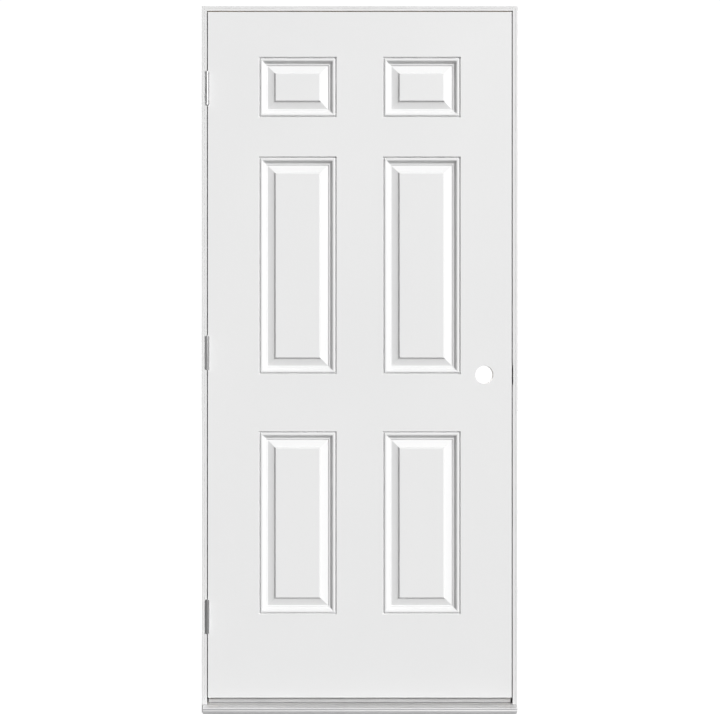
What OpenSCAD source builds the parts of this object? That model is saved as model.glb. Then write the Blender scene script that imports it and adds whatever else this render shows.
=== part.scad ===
// Prehung panelled entry door: a foam-filled steel leaf with six raised panels,
// hung on three butt hinges in a rabbeted wooden frame with an aluminium sill.
// X runs from the hinge side to the lock side, Y from outdoors to indoors, Z up.
// The origin is on the floor, in the middle of the frame's width and depth.

/* [Door leaf] */
// Width of the door leaf
leaf_w = 900; // [860:5:940]
// Height of the door leaf
leaf_h = 2030; // [1980:5:2100]
// Thickness of the door leaf over both skins
leaf_t = 44.5; // [42:0.5:46]
// Height of the leaf's bottom edge above the floor
leaf_z = 43.8; // [43:0.2:46]
// Thickness of the steel skins
skin_t = 0.6; // [0.5:0.1:0.8]
// Depth of the fold that each skin makes round the leaf's upright edges
fold_d = 9; // [7:0.5:9]
// Width of the wooden stiles inside the leaf
stile_in = 28; // [27:1:34]
// Height of the rails inside the leaf
rail_in = 28; // [24:1:40]

/* [Raised panels] */
// Distance from the leaf's upright edge to a panel
side_margin = 151; // [140:1:165]
// Flat strip between the two columns of panels
mid_margin = 136; // [120:1:160]
// Flat strip below the bottom panels
bottom_margin = 246; // [230:0.5:270]
// Height of the bottom panels
low_panel_h = 542.5; // [480:0.5:560]
// Flat strip between the bottom and the tall middle panels
lock_margin = 168; // [150:1:190]
// Flat strip between the middle and the top panels
frieze_margin = 115; // [100:1:140]
// Height of the top panels
top_panel_h = 180; // [150:1:190]
// Flat strip above the top panels
top_margin = 133; // [120:1:150]
// Scale of the moulding's depth
moulding_depth = 1; // [0.7:0.05:1.2]

/* [Lock preparation] */
// Distance from the leaf's lock edge to the centre of the lock bore
backset = 81.2; // [75:0.1:90]
// Height of the lock bore's centre above the leaf's bottom edge
bore_h = 955.5; // [930:0.5:980]
// Diameter of the lock bore
bore_d = 54; // [50:0.5:56]
// Diameter of the latch bore in the edge
latch_d = 25.4; // [22:0.2:26]
// Width of the wooden block round the lock bore
block_w = 100; // [96:1:110]
// Height of the wooden block round the lock bore
block_h = 320; // [240:5:340]

/* [Frame] */
// Thickness of the jambs beside the leaf
jamb_t = 14.7; // [14.6:0.1:18]
// Depth of the jambs from outdoors to indoors
frame_d = 116; // [108:1:130]
// Width of the stop that the leaf closes against
stop_w = 12.5; // [12:0.5:14]
// Room for the weatherstrip between the leaf and the stop
seal_room = 9; // [8.5:0.5:10]
// Gap between the leaf and the frame
gap = 2.6; // [2.4:0.1:3]
// How far the sill's nose stands out in front of the jambs
nose_out = 27; // [24:1:32]

/* [Hinges] */
// Height of a hinge
hinge_h = 98; // [90:1:102]
// Thickness of the hinge leaves
hinge_t = 2.2; // [2:0.1:2.4]
// Radius of the hinge barrel
barrel_r = 6.8; // [6.4:0.1:7]
// Radius of the hinge pin
pin_r = 3.2; // [2.8:0.1:3.4]
// Height of the middle of the top hinge above the leaf's bottom edge
top_hinge_h = 1802; // [1780:1:1810]
// Height of the middle of the middle hinge above the leaf's bottom edge
mid_hinge_h = 1020; // [990:1:1040]
// Height of the middle of the bottom hinge above the leaf's bottom edge
low_hinge_h = 240.5; // [230:0.5:260]

/* [Hidden] */

// Planes of the frame and the leaf
yb = (frame_d + nose_out) / 2;        // indoor face of the frame
yn = -yb;                             // front of the sill's nose
yf = yn + nose_out;                   // outdoor face of the jambs and the leaf
yi = yf + leaf_t;                     // indoor face of the leaf
ys = yi + seal_room;                  // face of the stop
xe = leaf_w / 2;                      // the leaf's upright edges
xr = xe + gap;                        // the rabbet's face
xo = xr + jamb_t;                     // outside of the frame
xs = xr - stop_w;                     // inner face of the stop
z0 = leaf_z;                          // the leaf's bottom edge
z1 = leaf_z + leaf_h;                 // the leaf's top edge
zr = z1 + gap;                        // underside of the head beside the leaf
zt = zr + jamb_t;                     // top of the frame
zs = zr - stop_w;                     // underside of the head's stop
sill_end = xo - 4.5;                  // ends of the sill's nose
glue = 0.05;                          // bond line between the skins and what they cover

// Lock preparation
bx = xe - backset;
by = (yf + yi) / 2;
bz = z0 + bore_h;
face_h = 57.2;
face_w = 25.4;
face_d = 2.4;
pocket_d = 11;

// Hinges
ax = -(xe + gap / 2);
ay = yf - 8;
hinge_zs = [z0 + low_hinge_h, z0 + mid_hinge_h, z0 + top_hinge_h];
knuckles = 5;
kn_gap = 0.4;
kn_h = (hinge_h - (knuckles - 1) * kn_gap) / knuckles;
bore_clear = 0.05;
leaf_back = yf + 38;
corner_r = 9;
pocket_c = 0.1;
screw_r = 2.1;
screw_head_r = 4.1;
hole_c = 0.05;
jamb_screw_l = 12.2;
door_screw_l = 25;
hinge_screws = [[12, 37], [27, 14], [12, -14], [27, -37]];  // from the outdoor face, from the hinge's middle

// Cross-section of the moulding round a panel: distance in from its outer line, depth below the face
moulding = [
  [0, 0], [0.9, 1.9], [1.9, 4.4], [2.7, 5.7], [3.4, 5.8], [4.4, 4.2], [5.4, 1.6], [6.4, 0.4], [8, 0.2], [10.4, 0.3],
  [12.2, 0.9], [14, 2.7], [15.6, 4.8], [17.6, 7.3], [19.4, 9.2], [21, 9.9], [23.6, 10], [24.6, 11.6], [25.8, 12],
  [27.4, 11.8], [45.8, 6], [46.8, 5.4], [48.4, 2.8], [49.8, 0.9], [51, 0.4], [52.4, 0.3]
];
function mould(s) = [for (p = moulding) [p[0], p[1] * s]];

// The six panels: [left, right, bottom, top]
panel_w = (leaf_w - 2 * side_margin - mid_margin) / 2;
rows = [
  [z0 + bottom_margin, z0 + bottom_margin + low_panel_h],
  [z0 + bottom_margin + low_panel_h + lock_margin, z1 - top_margin - top_panel_h - frieze_margin],
  [z1 - top_margin - top_panel_h, z1 - top_margin]
];
panels = [for (r = rows) for (s = [-1, 1])
  let (a = s * mid_margin / 2, b = s * (mid_margin / 2 + panel_w)) [min(a, b), max(a, b), r[0], r[1]]];

// ---- general shapes ----

// A closed skin through rectangles in planes across Y, each [left, right, bottom, top, y]
module rect_loft(loops) {
  n = len(loops);
  pts = [for (l = loops) each [[l[0], l[4], l[2]], [l[1], l[4], l[2]], [l[1], l[4], l[3]], [l[0], l[4], l[3]]]];
  sides = [for (i = [0:n - 2]) for (k = [0:3])
    [i * 4 + k, i * 4 + (k + 1) % 4, (i + 1) * 4 + (k + 1) % 4, (i + 1) * 4 + k]];
  polyhedron(points = pts, faces = concat([[3, 2, 1, 0]], sides, [[4 * n - 4, 4 * n - 3, 4 * n - 2, 4 * n - 1]]));
}
function loop_at(p, d, y) = [p[0] + d, p[1] - d, p[2] + d, p[3] - d, y];

// One stamped panel of the outdoor skin, as thick as the sheet
module stamped_panel(p, s) {
  m = mould(s);
  n = len(m);
  rect_loft(concat(
    [for (i = [n - 1:-1:0]) loop_at(p, m[i][0], yf + m[i][1])],
    [for (i = [0:n - 1]) loop_at(p, m[i][0], yf + m[i][1] + skin_t)]));
}

// What one stamped panel takes out of the core behind it
module panel_hollow(p, s) {
  m = mould(s);
  rect_loft(concat(
    [loop_at(p, 0, yf - 1)],
    [for (q = m) loop_at(p, q[0], yf + skin_t + 2 * glue + q[1])]));
}

// The same thing on the leaf's other face
module to_indoors() translate([0, yf + yi, 0]) mirror([0, 1, 0]) children();

// Normal of the line from a to b, to its right
function right_of(a, b) = let (d = b - a) [d[1], -d[0]] / norm(d);
// A line of points moved sideways, with mitred corners
function beside(p, t) = [for (i = [0:len(p) - 1])
  i == 0 ? p[0] + right_of(p[0], p[1]) * t :
  i == len(p) - 1 ? p[i] + right_of(p[i - 1], p[i]) * t :
  let (a = right_of(p[i - 1], p[i]), b = right_of(p[i], p[i + 1])) p[i] + (a + b) * t / (1 + a * b)];
function reversed(p) = [for (i = [len(p) - 1:-1:0]) p[i]];

// A profile in Y and Z, drawn out along X from a to b
module along_x(a, b) translate([a, 0, 0]) rotate([90, 0, 90]) linear_extrude(b - a) children();

// ---- the frame ----

// Cross-section of the hinge jamb, with an eased shadow line on its face and a kerf for the weatherstrip
module jamb_section() {
  polygon([
    [-xo, yf + 0.6], [-xo + 0.6, yf], [-xo + 6.2, yf], [-xo + 7, yf + 0.9], [-xo + 7.8, yf],
    [-xr - 0.5, yf], [-xr, yf + 0.5], [-xr, ys + 10], [-xr + 3, ys + 10], [-xr + 3, ys],
    [-xs - 0.6, ys], [-xs, ys + 0.6], [-xs, yb - 0.6], [-xs - 0.6, yb], [-xo, yb]]);
}
// The plain outline that the sill and the head are cut round
module jamb_outline(c) {
  polygon([[-xo - 1, yf - c], [-xr + c, yf - c], [-xr + c, ys - c], [-xs + c, ys - c], [-xs + c, yb + 1], [-xo - 1, yb + 1]]);
}
module both_jamb_outlines(c) {
  translate([0, 0, -1]) linear_extrude(zt + 2) {
    jamb_outline(c);
    mirror([1, 0]) jamb_outline(c);
  }
}
module side_jamb() linear_extrude(zt) jamb_section();

module screw_hole_x(x, y, z, l, way) {
  translate([x, y, z]) rotate([0, way * 90, 0]) cylinder(h = l + 0.2, r = screw_r + hole_c, $fn = 48);
}

// A countersunk screw along X: its head's face at x, running way (+1 or -1) into the wood
module screw_x(x, y, z, l, way) {
  translate([x, y, z]) rotate([0, way * 90, 0]) difference() {
    union() {
      cylinder(h = l, r = screw_r, $fn = 48);
      cylinder(h = 2, r1 = screw_head_r, r2 = screw_r, $fn = 48);
    }
    for (a = [0, 90]) rotate(a) translate([-2.3, -0.45, -1]) cube([4.6, 0.9, 2.1]);
  }
}
module sink_x(x, y, z, way) {
  translate([x, y, z]) rotate([0, way * 90, 0]) translate([0, 0, -0.001])
    cylinder(h = 2 + hole_c, r1 = screw_head_r + hole_c, r2 = screw_r + hole_c - 0.01, $fn = 48);
}

// Where the frame's own screws go: [y, z, length]
corner_screws = [[yf + 16, zr + jamb_t / 2, 55], [ys + 12, zr + 4, 55], [yb - 14, zr + 4, 55]];
foot_screws = [[yf + 18, 13, 55], [ys + 14, 22, 55], [yb - 16, 22, 55]];
module frame_screw_holes() {
  for (s = concat(corner_screws, foot_screws)) {
    screw_hole_x(-xo + 0.3, s[0], s[1], s[2], 1);
    sink_x(-xo + 0.3, s[0], s[1], 1);
    translate([-xo - 1, s[0], s[1]]) rotate([0, 90, 0]) cylinder(h = 1.301, r = screw_head_r + hole_c, $fn = 48);
  }
}
module frame_screws(list) {
  for (m = [0, 1]) mirror([m, 0, 0]) for (s = list) screw_x(-xo + 0.3, s[0], s[1], s[2], 1);
}

module hinge_jamb() {
  color("whitesmoke") difference() {
    side_jamb();
    for (z = hinge_zs) {
      hinge_pocket(z, -1);
      for (h = hinge_screws) screw_hole_x(-xr, yf + h[0], z + h[1], jamb_screw_l, -1);
    }
    frame_screw_holes();
  }
}

module strike_jamb() {
  color("whitesmoke") difference() {
    mirror([1, 0, 0]) side_jamb();
    // recess for the strike plate, out to the jamb's outdoor face
    translate([xr - 1, yf - 1, bz - 28.6]) cube([2.6, 38, 57.2]);
    // pocket for the latch bolt
    translate([xr - 1, by - 11, bz - 13]) cube([1 + pocket_d, 22, 26]);
    mirror([1, 0, 0]) frame_screw_holes();
  }
}

module head_jamb() {
  color("whitesmoke") difference() {
    along_x(-xr, xr) polygon([
      [yf, zr + 0.5], [yf, zt - 7.8], [yf + 0.9, zt - 7], [yf, zt - 6.2], [yf, zt - 0.6], [yf + 0.6, zt],
      [yb, zt], [yb, zs + 0.6], [yb - 0.6, zs], [ys + 0.6, zs], [ys, zs + 0.6],
      [ys, zr - 3], [ys + 10, zr - 3], [ys + 10, zr], [yf + 0.5, zr]]);
    both_jamb_outlines(0);
    frame_screw_holes();
    mirror([1, 0, 0]) frame_screw_holes();
  }
}

// The sill's upper surface, from the foot of its nose to its indoor foot
sill_slope = 0.244;
nose_top = 18.8;
function deck_z(y) = nose_top + sill_slope * (y - yn - 2);
riser_y = ys + 0.8;
riser_top = leaf_z + 14.2;
seal_slot = [leaf_z + 2.6, leaf_z + 8.6];
sill_line = [
  [yn + 7, 0], [yn + 7, 3.4], [yn, 4.2], [yn, 10.6], [yn + 0.8, 11.3], [yn + 0.8, 12.6], [yn + 0.2, 13.3],
  [yn + 0.2, nose_top - 1.9], [yn + 2, deck_z(yn + 2)], [riser_y, deck_z(riser_y)],
  [riser_y, seal_slot[0]], [riser_y + 4.5, seal_slot[0]], [riser_y + 4.5, seal_slot[1]], [riser_y, seal_slot[1]],
  [riser_y, riser_top - 2.4], [riser_y + 2.4, riser_top], [yb - 3, riser_top - 1], [yb, riser_top - 4], [yb, 0]
];
cap_t = 1.8;
rib_ys = [yn + 6.5, yn + 11.5, yn + 16.5];

module sill_cap() {
  color("silver") difference() {
    along_x(-sill_end, sill_end) polygon(concat(sill_line, reversed(beside(sill_line, cap_t))));
    both_jamb_outlines(0.15);
    // tread grooves on the slope, and the line where the nose meets the frame
    for (y = rib_ys) translate([-sill_end - 1, y, deck_z(y) - 0.75]) cube([2 * sill_end + 2, 1.2, 3]);
    translate([-sill_end - 1, yf - 0.6, deck_z(yf) - 1.1]) cube([2 * sill_end + 2, 1.6, 3]);
    frame_screw_holes();
    mirror([1, 0, 0]) frame_screw_holes();
  }
}

module sill_substrate() {
  inner = beside(sill_line, cap_t + 0.1);
  color("dimgray") difference() {
    along_x(-xr + 0.2, xr - 0.2) polygon(concat([for (i = [0:len(inner) - 1]) [inner[i][0], max(inner[i][1], 0)]]));
    both_jamb_outlines(0.2);
    frame_screw_holes();
    mirror([1, 0, 0]) frame_screw_holes();
  }
}

// Soft bulb against the foot of the leaf, with a stem held in the sill's slot
module sill_bumper_seal() {
  zc = leaf_z + 5.6;
  color("gray") along_x(-xs + 0.4, xs - 0.4) polygon([
    [yi + 1.9, zc - 5], [yi + 0.7, zc - 3.4], [yi + 0.3, zc - 1.2], [yi + 0.3, zc + 1.6], [yi + 0.7, zc + 3.8], [yi + 1.9, zc + 5.4],
    [riser_y - 0.1, zc + 5.4], [riser_y - 0.1, zc + 2.9], [riser_y + 4.3, zc + 2.9], [riser_y + 4.3, zc - 2.9],
    [riser_y - 0.1, zc - 2.9], [riser_y - 0.1, zc - 4.6], [riser_y - 1.6, zc - 5]]);
}

// Weatherstrip: a foam bulb on the stop's face with a leg in the kerf, for the hinge jamb
module strip_section(from_rabbet) {
  x = -from_rabbet;
  polygon([
    [x + 0.2, ys - 0.1], [x + 0.2, yi + 2.4], [x + 1.0, yi + 1.0], [x + 2.6, yi + 0.4], [x + 8.2, yi + 0.4],
    [x + 10, yi + 1.1], [x + 11, yi + 2.6], [x + 11, ys - 2.2], [x + 10.2, ys - 0.6], [x + 9, ys - 0.1],
    [x + 2.7, ys - 0.1], [x + 2.7, ys + 8.6], [x + 0.3, ys + 8.6], [x + 0.3, ys - 0.1]]);
}
module side_strip() {
  lo = max(deck_z(ys) + 2, leaf_z);
  translate([0, 0, lo]) linear_extrude(zr - 0.2 - lo) strip_section(xr);
}
module hinge_side_weatherstrip() color("gainsboro") side_strip();
module strike_side_weatherstrip() color("gainsboro") mirror([1, 0, 0]) side_strip();
module head_weatherstrip() {
  // the same section hanging from the head, coped round the side stops
  color("gainsboro") difference() {
    along_x(-xr + 11.3, xr - 11.3) translate([0, zr]) rotate(-90) strip_section(0);
    both_jamb_outlines(0.06);
  }
}

module frame_corner_screws() color("darkgray") frame_screws(corner_screws);
module sill_screws() color("darkgray") frame_screws(foot_screws);

// ---- the hinges ----

// Outline of a hinge leaf from the outdoor face back, in Y and Z round the hinge's middle
module hinge_outline(c, front) {
  h = hinge_h / 2 + c;
  b = leaf_back + c;
  union() {
    translate([front, -h]) square([b - corner_r - front, 2 * h]);
    translate([b - corner_r - 0.01, -h + corner_r]) square([corner_r + 0.01, 2 * h - 2 * corner_r]);
    for (s = [-1, 1]) intersection() {
      translate([b - corner_r, s * (h - corner_r)]) circle(r = corner_r, $fn = 64);
      translate([b - corner_r - 0.01, s > 0 ? 0 : -h - 1]) square([corner_r + 1, h + 1]);
    }
  }
}
// side -1 is the jamb's leaf, +1 the door's
module hinge_plate(z, side, c, front, t) {
  x = side < 0 ? -xr - t : -xe;
  translate([x, 0, z]) rotate([90, 0, 90]) linear_extrude(t) hinge_outline(c, front);
}
// The recess that a hinge leaf is let into
module hinge_pocket(z, side) {
  x = side < 0 ? -xr - hinge_t - glue : -xe - 1;
  translate([x, 0, z]) rotate([90, 0, 90]) linear_extrude(hinge_t + glue + 1) hinge_outline(pocket_c, yf - 2);
}
function kn_z(z, k) = z - hinge_h / 2 + k * (kn_h + kn_gap);

module hinge_leaf(z, side) {
  mine = side < 0 ? [0, 2, 4] : [1, 3];
  others = side < 0 ? [1, 3] : [0, 2, 4];
  head_x = side < 0 ? -xr : -xe;
  difference() {
    union() {
      hinge_plate(z, side, 0, ay, hinge_t);
      for (k = mine) translate([ax, ay, kn_z(z, k)]) cylinder(h = kn_h, r = barrel_r, $fn = 96);
    }
    // room for the other leaf's knuckles
    for (k = others) translate([ax, ay, kn_z(z, k) - kn_gap]) cylinder(h = kn_h + 2 * kn_gap, r = barrel_r + 0.4, $fn = 96);
    translate([ax, ay, z - hinge_h / 2 - 1]) cylinder(h = hinge_h + 2, r = pin_r + bore_clear, $fn = 96);
    for (h = hinge_screws) {
      screw_hole_x(head_x - side * 1, yf + h[0], z + h[1], hinge_t + 2, side);
      sink_x(head_x, yf + h[0], z + h[1], side);
    }
  }
}
module hinge_pin(z) {
  color("lightgray") translate([ax, ay, 0]) {
    translate([0, 0, z - hinge_h / 2 - 0.8]) cylinder(h = hinge_h + 1.2, r = pin_r, $fn = 96);
    // rounded button on top, plain disc below
    translate([0, 0, z + hinge_h / 2 + 0.2]) rotate_extrude($fn = 96)
      polygon([[0, 0], [5.2, 0], [5.2, 1.0], [4.4, 1.8], [2.6, 2.3], [0, 2.4]]);
    translate([0, 0, z - hinge_h / 2 - 1.6]) rotate_extrude($fn = 96)
      polygon([[0, 0], [4.2, 0], [5.0, 0.5], [5.0, 1.2], [0, 1.2]]);
  }
}
module top_hinge_pin() hinge_pin(hinge_zs[2]);
module middle_hinge_pin() hinge_pin(hinge_zs[1]);
module bottom_hinge_pin() hinge_pin(hinge_zs[0]);
module top_hinge_jamb_leaf() color("lightgray") hinge_leaf(hinge_zs[2], -1);
module middle_hinge_jamb_leaf() color("lightgray") hinge_leaf(hinge_zs[1], -1);
module bottom_hinge_jamb_leaf() color("lightgray") hinge_leaf(hinge_zs[0], -1);
module top_hinge_door_leaf() color("lightgray") hinge_leaf(hinge_zs[2], 1);
module middle_hinge_door_leaf() color("lightgray") hinge_leaf(hinge_zs[1], 1);
module bottom_hinge_door_leaf() color("lightgray") hinge_leaf(hinge_zs[0], 1);
module hinge_jamb_screws()
  color("darkgray") for (z = hinge_zs) for (h = hinge_screws) screw_x(-xr, yf + h[0], z + h[1], jamb_screw_l, -1);
module hinge_door_screws()
  color("darkgray") for (z = hinge_zs) for (h = hinge_screws) screw_x(-xe, yf + h[0], z + h[1], door_screw_l, 1);

// ---- the leaf ----

module lock_bore() {
  translate([bx, yf - 1, bz]) rotate([-90, 0, 0]) cylinder(h = leaf_t + 2, r = bore_d / 2, $fn = 128);
}
module latch_bore() {
  translate([bx, by, bz]) rotate([0, 90, 0]) cylinder(h = backset + 1, r = latch_d / 2, $fn = 96);
}
module faceplate_recess() {
  translate([xe - face_d, by - face_w / 2, bz - face_h / 2]) cube([face_d + 1, face_w, face_h]);
}

// One skin: a sheet with six stamped panels, folded round the upright edges
module skin_sheet() {
  difference() {
    translate([-xe, yf, z0]) cube([leaf_w, skin_t, leaf_h]);
    for (p = panels) translate([p[0], yf - 1, p[2]]) cube([p[1] - p[0], skin_t + 2, p[3] - p[2]]);
  }
  for (s = [-1, 1]) translate([s > 0 ? xe - skin_t : -xe, yf, z0]) cube([skin_t, fold_d, leaf_h]);
  for (p = panels) stamped_panel(p, moulding_depth);
}
module skin_cuts() {
  lock_bore();
  for (z = hinge_zs) hinge_pocket(z, 1);
}
module outer_steel_skin() color("whitesmoke") difference() {
  skin_sheet();
  skin_cuts();
}
module inner_steel_skin() color("whitesmoke") difference() {
  to_indoors() skin_sheet();
  skin_cuts();
}

ci = yf + skin_t + glue;   // between the skins, outdoor side
co = yi - skin_t - glue;   // between the skins, indoor side
xi = xe - stile_in;        // inner side of the stiles

// A stile, rebated for the folds of both skins
module stile_section() {
  polygon([
    [-xi, ci], [-xi, co], [-xe + skin_t + glue, co], [-xe + skin_t + glue, yi - fold_d - glue], [-xe, yi - fold_d - glue],
    [-xe, yf + fold_d + glue], [-xe + skin_t + glue, yf + fold_d + glue], [-xe + skin_t + glue, ci]]);
}
module hinge_stile() {
  color("burlywood") difference() {
    translate([0, 0, z0]) linear_extrude(leaf_h) stile_section();
    for (z = hinge_zs) {
      hinge_pocket(z, 1);
      for (h = hinge_screws) screw_hole_x(-xe, yf + h[0], z + h[1], door_screw_l, 1);
    }
  }
}
module lock_stile() {
  color("burlywood") difference() {
    translate([0, 0, z0]) linear_extrude(leaf_h) mirror([1, 0]) stile_section();
    latch_bore();
    faceplate_recess();
  }
}
module rail(z) translate([-xi + glue, ci, z]) cube([2 * xi - 2 * glue, co - ci, rail_in]);
module top_rail() color("burlywood") rail(z1 - rail_in);
module bottom_rail() color("tan") rail(z0);
module lock_block() {
  color("burlywood") difference() {
    translate([xi - block_w, ci, bz - block_h / 2]) cube([block_w - glue, co - ci, block_h]);
    lock_bore();
    latch_bore();
  }
}
module foam_core() {
  color("khaki") difference() {
    translate([-xi + glue, ci, z0 + rail_in + glue]) cube([2 * xi - 2 * glue, co - ci, leaf_h - 2 * rail_in - 2 * glue]);
    translate([xi - block_w - glue, ci - 1, bz - block_h / 2 - glue]) cube([block_w + 5, co - ci + 2, block_h + 2 * glue]);
    for (p = panels) panel_hollow(p, moulding_depth);
    to_indoors() for (p = panels) panel_hollow(p, moulding_depth);
  }
}

// Three-finned sweep under the leaf: each fin stops just clear of the sloping sill
fin_ys = [yf + 9, yf + 22, yf + 35.5];
module bottom_sweep() {
  function fin(y) = [[y + 1.5, z0 - 2.1], [y + 1.5, deck_z(y + 1.5) + 0.7], [y, deck_z(y + 1.5) + 0.7], [y - 0.5, z0 - 2.1]];
  color("gray") along_x(-xe + 2, xe - 2) polygon(concat(
    [[yf + 7.5, z0 - 0.1], [yf + 38, z0 - 0.1], [yf + 38, z0 - 2.1]], fin(fin_ys[2]), fin(fin_ys[1]), fin(fin_ys[0]),
    [[yf + 7.5, z0 - 2.1]]));
}

hinge_jamb();
strike_jamb();
head_jamb();
sill_cap();
sill_substrate();
sill_bumper_seal();
hinge_side_weatherstrip();
strike_side_weatherstrip();
head_weatherstrip();
frame_corner_screws();
sill_screws();
top_hinge_jamb_leaf();
middle_hinge_jamb_leaf();
bottom_hinge_jamb_leaf();
top_hinge_pin();
middle_hinge_pin();
bottom_hinge_pin();
hinge_jamb_screws();
outer_steel_skin();
inner_steel_skin();
foam_core();
hinge_stile();
lock_stile();
top_rail();
bottom_rail();
lock_block();
bottom_sweep();
top_hinge_door_leaf();
middle_hinge_door_leaf();
bottom_hinge_door_leaf();
hinge_door_screws();
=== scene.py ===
import math

import bmesh
import bpy
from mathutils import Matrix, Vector


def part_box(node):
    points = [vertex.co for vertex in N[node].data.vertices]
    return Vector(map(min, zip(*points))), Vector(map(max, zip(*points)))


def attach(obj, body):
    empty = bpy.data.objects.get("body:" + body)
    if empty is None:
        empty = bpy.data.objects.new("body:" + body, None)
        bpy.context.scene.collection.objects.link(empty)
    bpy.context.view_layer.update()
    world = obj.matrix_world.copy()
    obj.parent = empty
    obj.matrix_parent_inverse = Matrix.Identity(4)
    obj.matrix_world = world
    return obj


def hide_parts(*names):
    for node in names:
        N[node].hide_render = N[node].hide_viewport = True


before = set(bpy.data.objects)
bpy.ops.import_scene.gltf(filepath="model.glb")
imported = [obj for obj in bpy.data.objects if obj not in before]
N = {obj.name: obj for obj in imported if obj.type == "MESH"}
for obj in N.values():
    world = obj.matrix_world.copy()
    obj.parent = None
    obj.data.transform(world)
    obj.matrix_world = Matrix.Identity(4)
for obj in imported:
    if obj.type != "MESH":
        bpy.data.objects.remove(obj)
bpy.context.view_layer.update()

# ---------------------------------------------------------------- sizes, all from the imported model
sk_lo, sk_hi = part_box("outer_steel_skin")
in_lo, in_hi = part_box("inner_steel_skin")
XE = sk_hi.x                      # the leaf's upright edges are at -XE and XE
YF = sk_lo.y                      # outdoor face of the leaf
YI = in_hi.y                      # indoor face of the leaf
Z0, Z1 = sk_lo.z, sk_hi.z
SHEET = 0.0006
FOLD = 0.009

# The same layout as the CAD source, in metres from the leaf's own edges
SIDE, MID = 0.151, 0.136
PW = (2 * XE - 2 * SIDE - MID) / 2
ROWS = [(Z0 + 0.246, Z0 + 0.7885), (Z0 + 0.9565, Z1 - 0.428), (Z1 - 0.313, Z1 - 0.133)]
PANELS = []
for a, b in ROWS:
    for s in (-1, 1):
        x = sorted((s * MID / 2, s * (MID / 2 + PW)))
        PANELS.append((x[0], x[1], a, b))
BORE = (XE - 0.0812, Z0 + 0.9555, 0.027)
HINGES = [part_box(n) for n in ("bottom_hinge_door_leaf", "middle_hinge_door_leaf", "top_hinge_door_leaf")]
HINGE_X = -XE + 0.00225

MOULDING = [
    (0, 0), (0.9, 1.9), (1.9, 4.4), (2.7, 5.7), (3.4, 5.8), (4.4, 4.2), (5.4, 1.6), (6.4, 0.4), (8, 0.2), (10.4, 0.3),
    (12.2, 0.9), (14, 2.7), (15.6, 4.8), (17.6, 7.3), (19.4, 9.2), (21, 9.9), (23.6, 10), (24.6, 11.6), (25.8, 12),
    (27.4, 11.8), (45.8, 6), (46.8, 5.4), (48.4, 2.8), (49.8, 0.9), (51, 0.4), (52.4, 0.3),
]


def smooth_profile(points, steps):
    """A curve through the points, straight where they are far apart."""
    p = [(points[0][0] - 1.0, points[0][1])] + list(points) + [(points[-1][0] + 1.5, points[-1][1])]
    out = []
    for i in range(1, len(p) - 2):
        p0, p1, p2, p3 = p[i - 1:i + 3]
        t = [0.0]
        for a, b in ((p0, p1), (p1, p2), (p2, p3)):
            t.append(t[-1] + max(math.hypot(b[0] - a[0], b[1] - a[1]), 1e-6) ** 0.5)

        def at(u):
            def mix(a, b, ta, tb):
                k = (u - ta) / (tb - ta)
                return (a[0] + (b[0] - a[0]) * k, a[1] + (b[1] - a[1]) * k)
            a1, a2, a3 = mix(p0, p1, t[0], t[1]), mix(p1, p2, t[1], t[2]), mix(p2, p3, t[2], t[3])
            b1, b2 = mix(a1, a2, t[0], t[2]), mix(a2, a3, t[1], t[3])
            return mix(b1, b2, t[1], t[2])
        for k in range(steps):
            out.append(at(t[1] + (t[2] - t[1]) * k / steps))
    out.append(points[-1])
    return [(a / 1000, max(b, 0) / 1000) for a, b in out]


PROFILE = smooth_profile(MOULDING, 4)


class Sheet:
    """Faces with their own corner normals, and a second side at an offset, so that a thin sheet is closed."""

    def __init__(self):
        self.v, self.off, self.faces, self.normals = [], [], [], []

    def vert(self, co, offset):
        self.v.append(Vector(co))
        self.off.append(Vector(offset))
        return len(self.v) - 1

    def face(self, ids, normals):
        n = (self.v[ids[1]] - self.v[ids[0]]).cross(self.v[ids[2]] - self.v[ids[0]])
        mean = sum((Vector(m) for m in normals), Vector())
        if n.dot(mean) < 0:
            ids, normals = ids[::-1], normals[::-1]
        self.faces.append(tuple(ids))
        self.normals.append([Vector(m).normalized() for m in normals])

    def build(self, name):
        count = len(self.v)
        verts = self.v + [a + b for a, b in zip(self.v, self.off)]
        faces, normals = list(self.faces), list(self.normals)
        edges = {}
        for f in self.faces:
            for a, b in zip(f, f[1:] + f[:1]):
                edges.setdefault((min(a, b), max(a, b)), []).append((a, b))
        for f, n in zip(self.faces, self.normals):
            faces.append(tuple(i + count for i in reversed(f)))
            normals.append([-m for m in reversed(n)])
        for key, uses in edges.items():
            if len(uses) == 1:
                a, b = uses[0]
                quad = (b, a, a + count, b + count)
                n = (verts[quad[1]] - verts[quad[0]]).cross(verts[quad[2]] - verts[quad[0]]).normalized()
                faces.append(quad)
                normals.append([n] * 4)
        mesh = bpy.data.meshes.new(name)
        mesh.from_pydata([tuple(c) for c in verts], [], faces)
        mesh.shade_smooth()
        mesh.normals_split_custom_set([tuple(n) for per in normals for n in per])
        mesh.validate(clean_customdata=False)
        obj = bpy.data.objects.new(name, mesh)
        bpy.context.scene.collection.objects.link(obj)
        return obj


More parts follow.
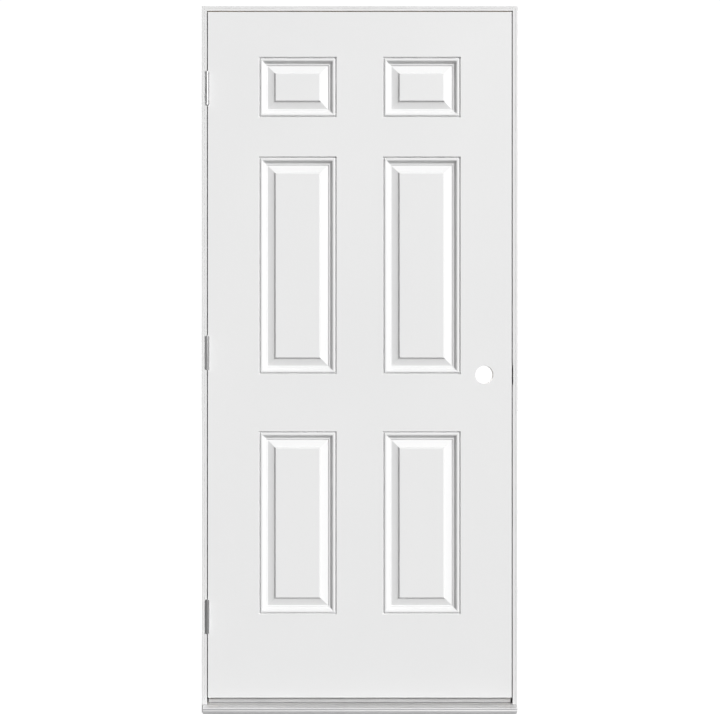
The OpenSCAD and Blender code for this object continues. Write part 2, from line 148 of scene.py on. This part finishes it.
def door_skin(name, face_y, into):
    """A stamped steel skin. into is +1 where its back is towards +Y, -1 where it is towards -Y."""
    sh = Sheet()
    back = (0, into * SHEET, 0)
    out = Vector((0, -into, 0))
    r = 0.0013
    bm = bmesh.new()
    ids = {}

    def flat(x, z):
        v = bm.verts.new((x, face_y, z))
        ids[v] = sh.vert((x, face_y, z), back)
        return v

    def loop(points):
        vs = [flat(*p) for p in points]
        for a, b in zip(vs, vs[1:] + vs[:1]):
            bm.edges.new((a, b))
        return [ids[v] for v in vs]

    # outline of the flat face, notched round the hinge leaves
    left, right = -XE + r, XE - r
    outline = [(left, Z0)]
    outline += [(right, Z0), (right, Z1), (left, Z1)]
    spans = [(h[0].z - 0.0001, h[1].z + 0.0001) for h in HINGES]
    for a, b in reversed(spans):
        outline += [(left, b), (HINGE_X, b), (HINGE_X, a), (left, a)]
    edge = loop(outline)
    # the panels' outer lines and the lock bore
    rings = []
    for p in PANELS:
        rings.append(loop([(p[0], p[2]), (p[1], p[2]), (p[1], p[3]), (p[0], p[3])]))
    count = 128
    loop([(BORE[0] + BORE[2] * math.cos(2 * math.pi * k / count), BORE[1] + BORE[2] * math.sin(2 * math.pi * k / count))
          for k in range(count)])
    bmesh.ops.triangle_fill(bm, use_beauty=True, use_dissolve=False, edges=list(bm.edges), normal=tuple(out))
    for f in bm.faces:
        sh.face([ids[v] for v in f.verts], [out] * len(f.verts))
    bm.free()

    # the moulding of each panel
    inward = [Vector((0, 0, 1)), Vector((-1, 0, 0)), Vector((0, 0, -1)), Vector((1, 0, 0))]
    slope = []
    for i in range(len(PROFILE)):
        a, b = PROFILE[max(i - 1, 0)], PROFILE[min(i + 1, len(PROFILE) - 1)]
        d = Vector((b[0] - a[0], b[1] - a[1])).normalized()
        if i in (0, len(PROFILE) - 1):
            d = Vector((1, 0))
        slope.append(d)
    for p, ring in zip(PANELS, rings):
        prev = ring
        for i in range(1, len(PROFILE)):
            d, dep = PROFILE[i]
            y = face_y + into * dep
            cur = [sh.vert(c, back) for c in (
                (p[0] + d, y, p[2] + d), (p[1] - d, y, p[2] + d), (p[1] - d, y, p[3] - d), (p[0] + d, y, p[3] - d))]
            for k in range(4):
                n0 = inward[k] * slope[i - 1].y + out * slope[i - 1].x
                n1 = inward[k] * slope[i].y + out * slope[i].x
                sh.face([prev[k], prev[(k + 1) % 4], cur[(k + 1) % 4], cur[k]], [n0, n0, n1, n1])
            prev = cur
        sh.face(prev, [out] * 4)

    # the rounded corners and the folds
    steps = 6
    for s in (-1, 1):
        cuts = [Z0, Z1]
        if s < 0:
            for a, b in spans:
                cuts += [a, b]
        cuts.sort()
        known = {}
        for i in edge:
            v = sh.v[i]
            if abs(v.x - (left if s < 0 else right)) < 1e-6:
                known[round(v.z, 5)] = i
        strips = []
        for z in cuts:
            column = [(known[round(z, 5)], out)]
            for k in range(1, steps + 1):
                a = math.pi / 2 * k / steps
                n = out * math.cos(a) + Vector((s, 0, 0)) * math.sin(a)
                co = Vector((s * (XE - r), face_y + into * r, z)) + n * r
                column.append((sh.vert(co, -n * SHEET), n))
            n = Vector((s, 0, 0))
            column.append((sh.vert((s * XE, face_y + into * FOLD, z), -n * SHEET), n))
            strips.append(column)
        for j in range(len(cuts) - 1):
            if s < 0 and any(abs(cuts[j] - a) < 1e-6 for a, b in spans):
                continue
            for k in range(steps + 1):
                a, b, c, d = strips[j][k], strips[j][k + 1], strips[j + 1][k + 1], strips[j + 1][k]
                sh.face([a[0], b[0], c[0], d[0]], [a[1], b[1], c[1], d[1]])
    return sh.build(name)


# ---------------------------------------------------------------- materials
class Mat:
    """A node material with a Principled shader, textured by the piece's own coordinates."""

    def __init__(self, name, rough=0.5, metal=0.0, **sockets):
        self.m = bpy.data.materials.new(name)
        self.m.use_nodes = True
        self.t = self.m.node_tree
        self.t.nodes.clear()
        self.out = self.t.nodes.new("ShaderNodeOutputMaterial")
        self.b = self.t.nodes.new("ShaderNodeBsdfPrincipled")
        self.t.links.new(self.b.outputs[0], self.out.inputs[0])
        self.b.inputs["Roughness"].default_value = rough
        self.b.inputs["Metallic"].default_value = metal
        for k, v in sockets.items():
            self.b.inputs[k.replace("_", " ")].default_value = v
        self.co = self.t.nodes.new("ShaderNodeTexCoord")
        self.normal = None

    def mapped(self, scale, rotate=(0, 0, 0), shift=(0, 0, 0)):
        m = self.t.nodes.new("ShaderNodeMapping")
        m.inputs["Scale"].default_value = scale
        m.inputs["Rotation"].default_value = rotate
        m.inputs["Location"].default_value = shift
        self.t.links.new(self.co.outputs["Object"], m.inputs["Vector"])
        return m.outputs[0]

    def noise(self, vector, scale=1.0, detail=3.0, rough=0.5, distort=0.0):
        n = self.t.nodes.new("ShaderNodeTexNoise")
        n.inputs["Scale"].default_value = scale
        n.inputs["Detail"].default_value = detail
        n.inputs["Roughness"].default_value = rough
        n.inputs["Distortion"].default_value = distort
        self.t.links.new(vector, n.inputs["Vector"])
        return n.outputs["Fac"]

    def voronoi(self, vector, scale=1.0, feature="F1"):
        n = self.t.nodes.new("ShaderNodeTexVoronoi")
        n.feature = feature
        n.inputs["Scale"].default_value = scale
        self.t.links.new(vector, n.inputs["Vector"])
        return n.outputs["Distance"]

    def ramp(self, fac, stops):
        r = self.t.nodes.new("ShaderNodeValToRGB")
        e = r.color_ramp.elements
        while len(e) < len(stops):
            e.new(0.5)
        for el, (pos, col) in zip(e, stops):
            el.position = pos
            el.color = (*col, 1) if len(col) == 3 else col
        self.t.links.new(fac, r.inputs["Fac"])
        return r.outputs["Color"]

    def span(self, fac, a, b, lo=0.3, hi=0.7):
        r = self.t.nodes.new("ShaderNodeMapRange")
        r.inputs["From Min"].default_value = lo
        r.inputs["From Max"].default_value = hi
        r.inputs["To Min"].default_value = a
        r.inputs["To Max"].default_value = b
        self.t.links.new(fac, r.inputs["Value"])
        return r.outputs["Result"]

    def math(self, op, a, b):
        n = self.t.nodes.new("ShaderNodeMath")
        n.operation = op
        for i, x in enumerate((a, b)):
            if isinstance(x, (int, float)):
                n.inputs[i].default_value = x
            else:
                self.t.links.new(x, n.inputs[i])
        return n.outputs[0]

    def mix(self, fac, a, b, blend="MIX"):
        n = self.t.nodes.new("ShaderNodeMix")
        n.data_type = "RGBA"
        n.blend_type = blend
        if isinstance(fac, (int, float)):
            n.inputs[0].default_value = fac
        else:
            self.t.links.new(fac, n.inputs[0])
        for i, x in ((6, a), (7, b)):
            if isinstance(x, tuple):
                n.inputs[i].default_value = (*x, 1)
            else:
                self.t.links.new(x, n.inputs[i])
        return n.outputs[2]

    def color(self, out):
        self.t.links.new(out, self.b.inputs["Base Color"])
        return self

    def rough(self, out):
        self.t.links.new(out, self.b.inputs["Roughness"])
        return self

    def bump(self, height, strength, distance):
        n = self.t.nodes.new("ShaderNodeBump")
        n.inputs["Strength"].default_value = strength
        n.inputs["Distance"].default_value = distance
        self.t.links.new(height, n.inputs["Height"])
        if self.normal is not None:
            self.t.links.new(self.normal, n.inputs["Normal"])
        self.normal = n.outputs["Normal"]
        self.t.links.new(self.normal, self.b.inputs["Normal"])
        return self


def grey(v):
    return (v, v, v)


def primed_steel():
    m = Mat("primed_steel_look", rough=0.42)
    fine = m.noise(m.mapped((1, 1, 1)), 620, 2, 0.55)
    wide = m.noise(m.mapped((1, 1, 0.6)), 2.2, 4, 0.55)
    col = m.mix(0.5, m.ramp(fine, [(0.30, grey(0.690)), (0.70, grey(0.715))]),
                m.ramp(wide, [(0.35, (0.694, 0.695, 0.697)), (0.65, (0.711, 0.711, 0.710))]))
    m.color(col)
    m.rough(m.span(m.math("ADD", m.math("MULTIPLY", fine, 0.6), m.math("MULTIPLY", wide, 0.4)), 0.38, 0.50))
    m.bump(fine, 0.10, 0.0003)
    m.bump(m.noise(m.mapped((1, 1, 1)), 95, 2, 0.4), 0.10, 0.0006)
    return m.m


def primed_wood(name, long_axis):
    """Finger-jointed pine under a brushed white primer; the grain runs along one axis."""
    s = {"z": (70, 70, 2.4), "x": (2.4, 70, 70)}[long_axis]
    m = Mat(name, rough=0.5)
    grain = m.noise(m.mapped(s), 4.0, 5, 0.6, 0.3)
    brush = m.noise(m.mapped(tuple(k * 6 for k in s)), 3.0, 2, 0.5)
    wide = m.noise(m.mapped((1, 1, 1)), 3.0, 3, 0.5)
    col = m.mix(0.45, m.ramp(grain, [(0.28, (0.642, 0.641, 0.637)), (0.62, (0.686, 0.686, 0.685))]),
                m.ramp(wide, [(0.3, grey(0.656)), (0.7, grey(0.686))]))
    m.color(col)
    m.rough(m.span(brush, 0.44, 0.60))
    m.bump(grain, 0.12, 0.0006)
    m.bump(brush, 0.08, 0.0003)
    return m.m


def raw_pine(name, long_axis):
    s = {"z": (30, 30, 1.1), "x": (1.1, 30, 30)}[long_axis]
    m = Mat(name, rough=0.6)
    rings = m.noise(m.mapped(s), 3.2, 4, 0.55, 0.8)
    band = m.math("FRACT", m.math("MULTIPLY", rings, 9.0), 0.0)
    fib = m.noise(m.mapped(tuple(k * 12 for k in s)), 2.5, 3, 0.6)
    col = m.mix(0.55, m.ramp(band, [(0.0, (0.66, 0.47, 0.27)), (0.55, (0.72, 0.54, 0.33)), (0.85, (0.55, 0.35, 0.17)), (1.0, (0.64, 0.45, 0.25))]),
                m.ramp(fib, [(0.3, (0.60, 0.43, 0.25)), (0.7, (0.78, 0.61, 0.40))]))
    m.color(col)
    m.rough(m.span(fib, 0.52, 0.72))
    m.bump(fib, 0.25, 0.0004)
    return m.m


def pale_block():
    """The block round the lock bore: pale laminated strand, in thin layers along the leaf's height."""
    m = Mat("lock_block_look", rough=0.7)
    layer = m.noise(m.mapped((14, 240, 10)), 2.5, 3, 0.5)
    fib = m.noise(m.mapped((160, 160, 14)), 3.0, 4, 0.6)
    m.color(m.mix(0.5, m.ramp(layer, [(0.35, (0.74, 0.72, 0.69)), (0.65, (0.82, 0.81, 0.79))]),
                  m.ramp(fib, [(0.3, (0.73, 0.71, 0.68)), (0.7, (0.84, 0.83, 0.81))])))
    m.rough(m.span(fib, 0.60, 0.80))
    m.bump(fib, 0.25, 0.0004)
    return m.m


def composite():
    m = Mat("sill_composite_look", rough=0.75)
    spec = m.voronoi(m.mapped((1, 1, 1)), 420)
    fib = m.noise(m.mapped((12, 160, 160)), 3.0, 4, 0.6)
    m.color(m.mix(0.5, m.ramp(spec, [(0.1, (0.20, 0.16, 0.12)), (0.6, (0.33, 0.27, 0.20))]),
                  m.ramp(fib, [(0.3, (0.24, 0.19, 0.14)), (0.7, (0.36, 0.29, 0.21))])))
    m.rough(m.span(fib, 0.66, 0.85))
    m.bump(spec, 0.3, 0.0004)
    return m.m


def aluminium():
    """Mill finish: fine drawing lines along the sill, a little cloudiness, and scuffs."""
    m = Mat("mill_aluminium_look", rough=0.5, metal=1.0, Anisotropic=0.25)
    lines = m.noise(m.mapped((1.2, 900, 900)), 1.6, 3, 0.6)
    wide = m.noise(m.mapped((3, 14, 14)), 1.5, 4, 0.6)
    scuff = m.noise(m.mapped((60, 220, 60)), 1.2, 6, 0.7, 1.2)
    col = m.mix(0.5, m.ramp(lines, [(0.3, grey(0.66)), (0.7, grey(0.78))]),
                m.ramp(wide, [(0.3, (0.69, 0.69, 0.70)), (0.7, (0.76, 0.76, 0.76))]))
    m.color(col)
    m.rough(m.math("ADD", m.span(lines, 0.46, 0.58), m.span(scuff, 0.0, 0.08, 0.52, 0.75)))
    m.bump(lines, 0.18, 0.0002)
    return m.m


def satin_steel(name, shade=0.56, along="z"):
    s = {"z": (500, 500, 6), "x": (6, 500, 500)}[along]
    m = Mat(name, rough=0.32, metal=1.0, Anisotropic=0.3)
    lines = m.noise(m.mapped(s), 1.5, 3, 0.6)
    wide = m.noise(m.mapped((1, 1, 1)), 60, 4, 0.6)
    col = m.mix(0.5, m.ramp(lines, [(0.3, grey(shade * 0.90)), (0.7, grey(shade * 1.10))]),
                m.ramp(wide, [(0.3, (shade * 0.93, shade * 0.93, shade * 0.94)), (0.7, (shade * 1.06,) * 3)]))
    m.color(col)
    m.rough(m.span(lines, 0.26, 0.40))
    m.bump(lines, 0.10, 0.0001)
    return m.m


def zinc():
    m = Mat("zinc_look", rough=0.36, metal=1.0)
    spangle = m.voronoi(m.mapped((1, 1, 1)), 900)
    fine = m.noise(m.mapped((1, 1, 1)), 500, 3, 0.6)
    m.color(m.mix(0.5, m.ramp(spangle, [(0.1, (0.60, 0.60, 0.58)), (0.7, (0.74, 0.74, 0.74))]),
                  m.ramp(fine, [(0.3, grey(0.60)), (0.7, grey(0.76))])))
    m.rough(m.span(fine, 0.28, 0.45))
    m.bump(fine, 0.12, 0.0001)
    return m.m


def soft_vinyl(name, a, b, scale=700, bump=0.2):
    m = Mat(name, rough=0.55)
    fine = m.noise(m.mapped((1, 1, 1)), scale, 3, 0.6)
    wide = m.noise(m.mapped((6, 60, 60)), 2.0, 3, 0.5)
    m.color(m.mix(0.5, m.ramp(fine, [(0.3, a), (0.7, b)]), m.ramp(wide, [(0.3, a), (0.7, b)])))
    m.rough(m.span(fine, 0.48, 0.68))
    m.bump(fine, bump, 0.0003)
    return m.m


def foam():
    m = Mat("insulating_foam_look", rough=0.9)
    cell = m.voronoi(m.mapped((1, 1, 1)), 900)
    wide = m.noise(m.mapped((1, 1, 1)), 12, 4, 0.6)
    m.color(m.mix(0.6, m.ramp(cell, [(0.05, (0.62, 0.50, 0.26)), (0.6, (0.80, 0.70, 0.44))]),
                  m.ramp(wide, [(0.3, (0.70, 0.59, 0.34)), (0.7, (0.82, 0.73, 0.48))])))
    m.rough(m.span(cell, 0.98, 0.80, 0.0, 0.7))
    m.bump(cell, 0.5, 0.0006)
    return m.m


M_STEEL = primed_steel()
M_JAMB = primed_wood("primed_jamb_look", "z")
M_HEAD = primed_wood("primed_head_look", "x")
M_PINE_Z = raw_pine("raw_pine_upright_look", "z")
M_PINE_X = raw_pine("raw_pine_level_look", "x")
M_COMP = composite()
M_BLOCK = pale_block()
M_ALU = aluminium()
M_HINGE = satin_steel("satin_hinge_look", 0.50)
M_PIN = satin_steel("satin_pin_look", 0.54)
M_ZINC = zinc()
M_VINYL = soft_vinyl("grey_vinyl_look", (0.35, 0.35, 0.35), (0.42, 0.42, 0.42))
M_STRIP = soft_vinyl("white_weatherstrip_look", (0.78, 0.78, 0.77), (0.86, 0.86, 0.85), 420, 0.35)
M_FOAM = foam()


def dress(node, material, bevel=0.0, segments=2, angle=32):
    """A CAD node's finish, with its edges eased by a modifier."""
    o = N[node]
    o.data.materials.clear()
    o.data.materials.append(material)
    if "custom_normal" in o.data.attributes:
        o.data.attributes.remove(o.data.attributes["custom_normal"])
    o.data.shade_smooth()
    w = o.modifiers.new("weld", "WELD")
    w.merge_threshold = 0.000005
    if bevel:
        b = o.modifiers.new("eased_edges", "BEVEL")
        b.width = bevel
        b.segments = segments
        b.limit_method = "ANGLE"
        b.angle_limit = math.radians(angle)
        b.harden_normals = True
        b.use_clamp_overlap = True
    wn = o.modifiers.new("flat_faces", "WEIGHTED_NORMAL")
    wn.keep_sharp = True
    wn.weight = 100
    return o


outer = door_skin("outdoor_skin", YF, 1)
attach(outer, "door"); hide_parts("outer_steel_skin")
outer.data.materials.append(M_STEEL)
inner = door_skin("indoor_skin", YI, -1)
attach(inner, "door"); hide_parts("inner_steel_skin")
inner.data.materials.append(M_STEEL)

dress("hinge_jamb", M_JAMB, 0.0006)
dress("strike_jamb", M_JAMB, 0.0006)
dress("head_jamb", M_HEAD, 0.0006)
dress("sill_cap", M_ALU, 0.00025)
dress("sill_substrate", M_COMP, 0.0004)
dress("sill_bumper_seal", M_VINYL, 0.0006, 3, 20)
for n in ("hinge_side_weatherstrip", "strike_side_weatherstrip", "head_weatherstrip"):
    dress(n, M_STRIP, 0.0008, 3, 20)
dress("bottom_sweep", M_VINYL, 0.0003, 2, 20)
for n in ("frame_corner_screws", "sill_screws", "hinge_jamb_screws", "hinge_door_screws"):
    dress(n, M_ZINC)
for n in ("top", "middle", "bottom"):
    dress(n + "_hinge_jamb_leaf", M_HINGE, 0.00025)
    dress(n + "_hinge_door_leaf", M_HINGE, 0.00025)
    dress(n + "_hinge_pin", M_PIN, 0.00025)
    for part in ("_hinge_jamb_leaf", "_hinge_door_leaf", "_hinge_pin"):
        bpy.data.objects[n + part].visible_shadow = False
dress("foam_core", M_FOAM)
dress("hinge_stile", M_PINE_Z, 0.0003)
dress("lock_stile", M_PINE_Z, 0.0003)
dress("top_rail", M_PINE_X, 0.0003)
dress("bottom_rail", M_COMP, 0.0003)
dress("lock_block", M_BLOCK, 0.0003)

# ---------------------------------------------------------------- floor, light, camera
floor_mesh = bpy.data.meshes.new("studio_floor")
bm = bmesh.new()
R = 30.0
bmesh.ops.create_circle(bm, cap_ends=True, radius=R, segments=96)
bmesh.ops.translate(bm, verts=bm.verts, vec=(0, 0, -0.0008))
bm.to_mesh(floor_mesh)
bm.free()
floor = bpy.data.objects.new("studio_floor", floor_mesh)
bpy.context.scene.collection.objects.link(floor)
mf = Mat("studio_floor_look", rough=0.9)
wide = mf.noise(mf.mapped((1, 1, 1)), 0.7, 3, 0.5)
mf.color(mf.ramp(wide, [(0.3, grey(0.21)), (0.7, grey(0.23))]))
mf.b.inputs["Specular IOR Level"].default_value = 0.1
mf.b.inputs["Emission Color"].default_value = (1, 1, 1, 1)
lp = mf.t.nodes.new("ShaderNodeLightPath")
mf.t.links.new(mf.math("MULTIPLY", lp.outputs["Is Camera Ray"], 0.90), mf.b.inputs["Emission Strength"])
floor.data.materials.append(mf.m)

world = bpy.data.worlds.new("studio")
world.use_nodes = True
wt = world.node_tree
wt.nodes.clear()
wo = wt.nodes.new("ShaderNodeOutputWorld")
path = wt.nodes.new("ShaderNodeLightPath")
seen = wt.nodes.new("ShaderNodeBackground")
seen.inputs["Color"].default_value = (1, 1, 1, 1)
seen.inputs["Strength"].default_value = 1.05
fill = wt.nodes.new("ShaderNodeBackground")
fill.inputs["Color"].default_value = (1, 1, 1, 1)
fill.inputs["Strength"].default_value = 0.13
gloss = wt.nodes.new("ShaderNodeBackground")
gloss.inputs["Color"].default_value = (1, 1, 1, 1)
gloss.inputs["Strength"].default_value = 0.50
lit = wt.nodes.new("ShaderNodeMixShader")
wt.links.new(path.outputs["Is Glossy Ray"], lit.inputs[0])
wt.links.new(fill.outputs[0], lit.inputs[1])
wt.links.new(gloss.outputs[0], lit.inputs[2])
both = wt.nodes.new("ShaderNodeMixShader")
wt.links.new(path.outputs["Is Camera Ray"], both.inputs[0])
wt.links.new(lit.outputs[0], both.inputs[1])
wt.links.new(seen.outputs[0], both.inputs[2])
wt.links.new(both.outputs[0], wo.inputs[0])
bpy.context.scene.world = world


def sun(name, towards, strength, angle):
    """A wide soft light whose rays come from the given direction."""
    d = bpy.data.lights.new(name, "SUN")
    d.energy = strength
    d.angle = math.radians(angle)
    o = bpy.data.objects.new(name, d)
    o.rotation_mode = "QUATERNION"
    o.rotation_quaternion = Vector(towards).to_track_quat("Z", "Y")
    bpy.context.scene.collection.objects.link(o)
    return o


sun("key", (0.530, -0.714, 0.457), 4.28, 24)
sun("back_fill", (-0.5, 0.8, 0.33), 2.6, 40)

cam_data = bpy.data.cameras.new("camera")
cam_data.lens = 85
cam_data.sensor_width = 36
cam = bpy.data.objects.new("camera", cam_data)
MMPX = 2.96
DIST = 0.001 * MMPX * 720 * cam_data.lens / cam_data.sensor_width
cam.location = (0.0009, YF - DIST, 1.0432)
cam.rotation_euler = (math.radians(90), 0, 0)
cam_data.clip_start, cam_data.clip_end = 0.05, 200
bpy.context.scene.collection.objects.link(cam)
bpy.context.scene.camera = cam

vs = bpy.context.scene.view_settings
vs.view_transform = "Standard"
vs.look = "None"
vs.exposure = 0.0
vs.gamma = 1.0
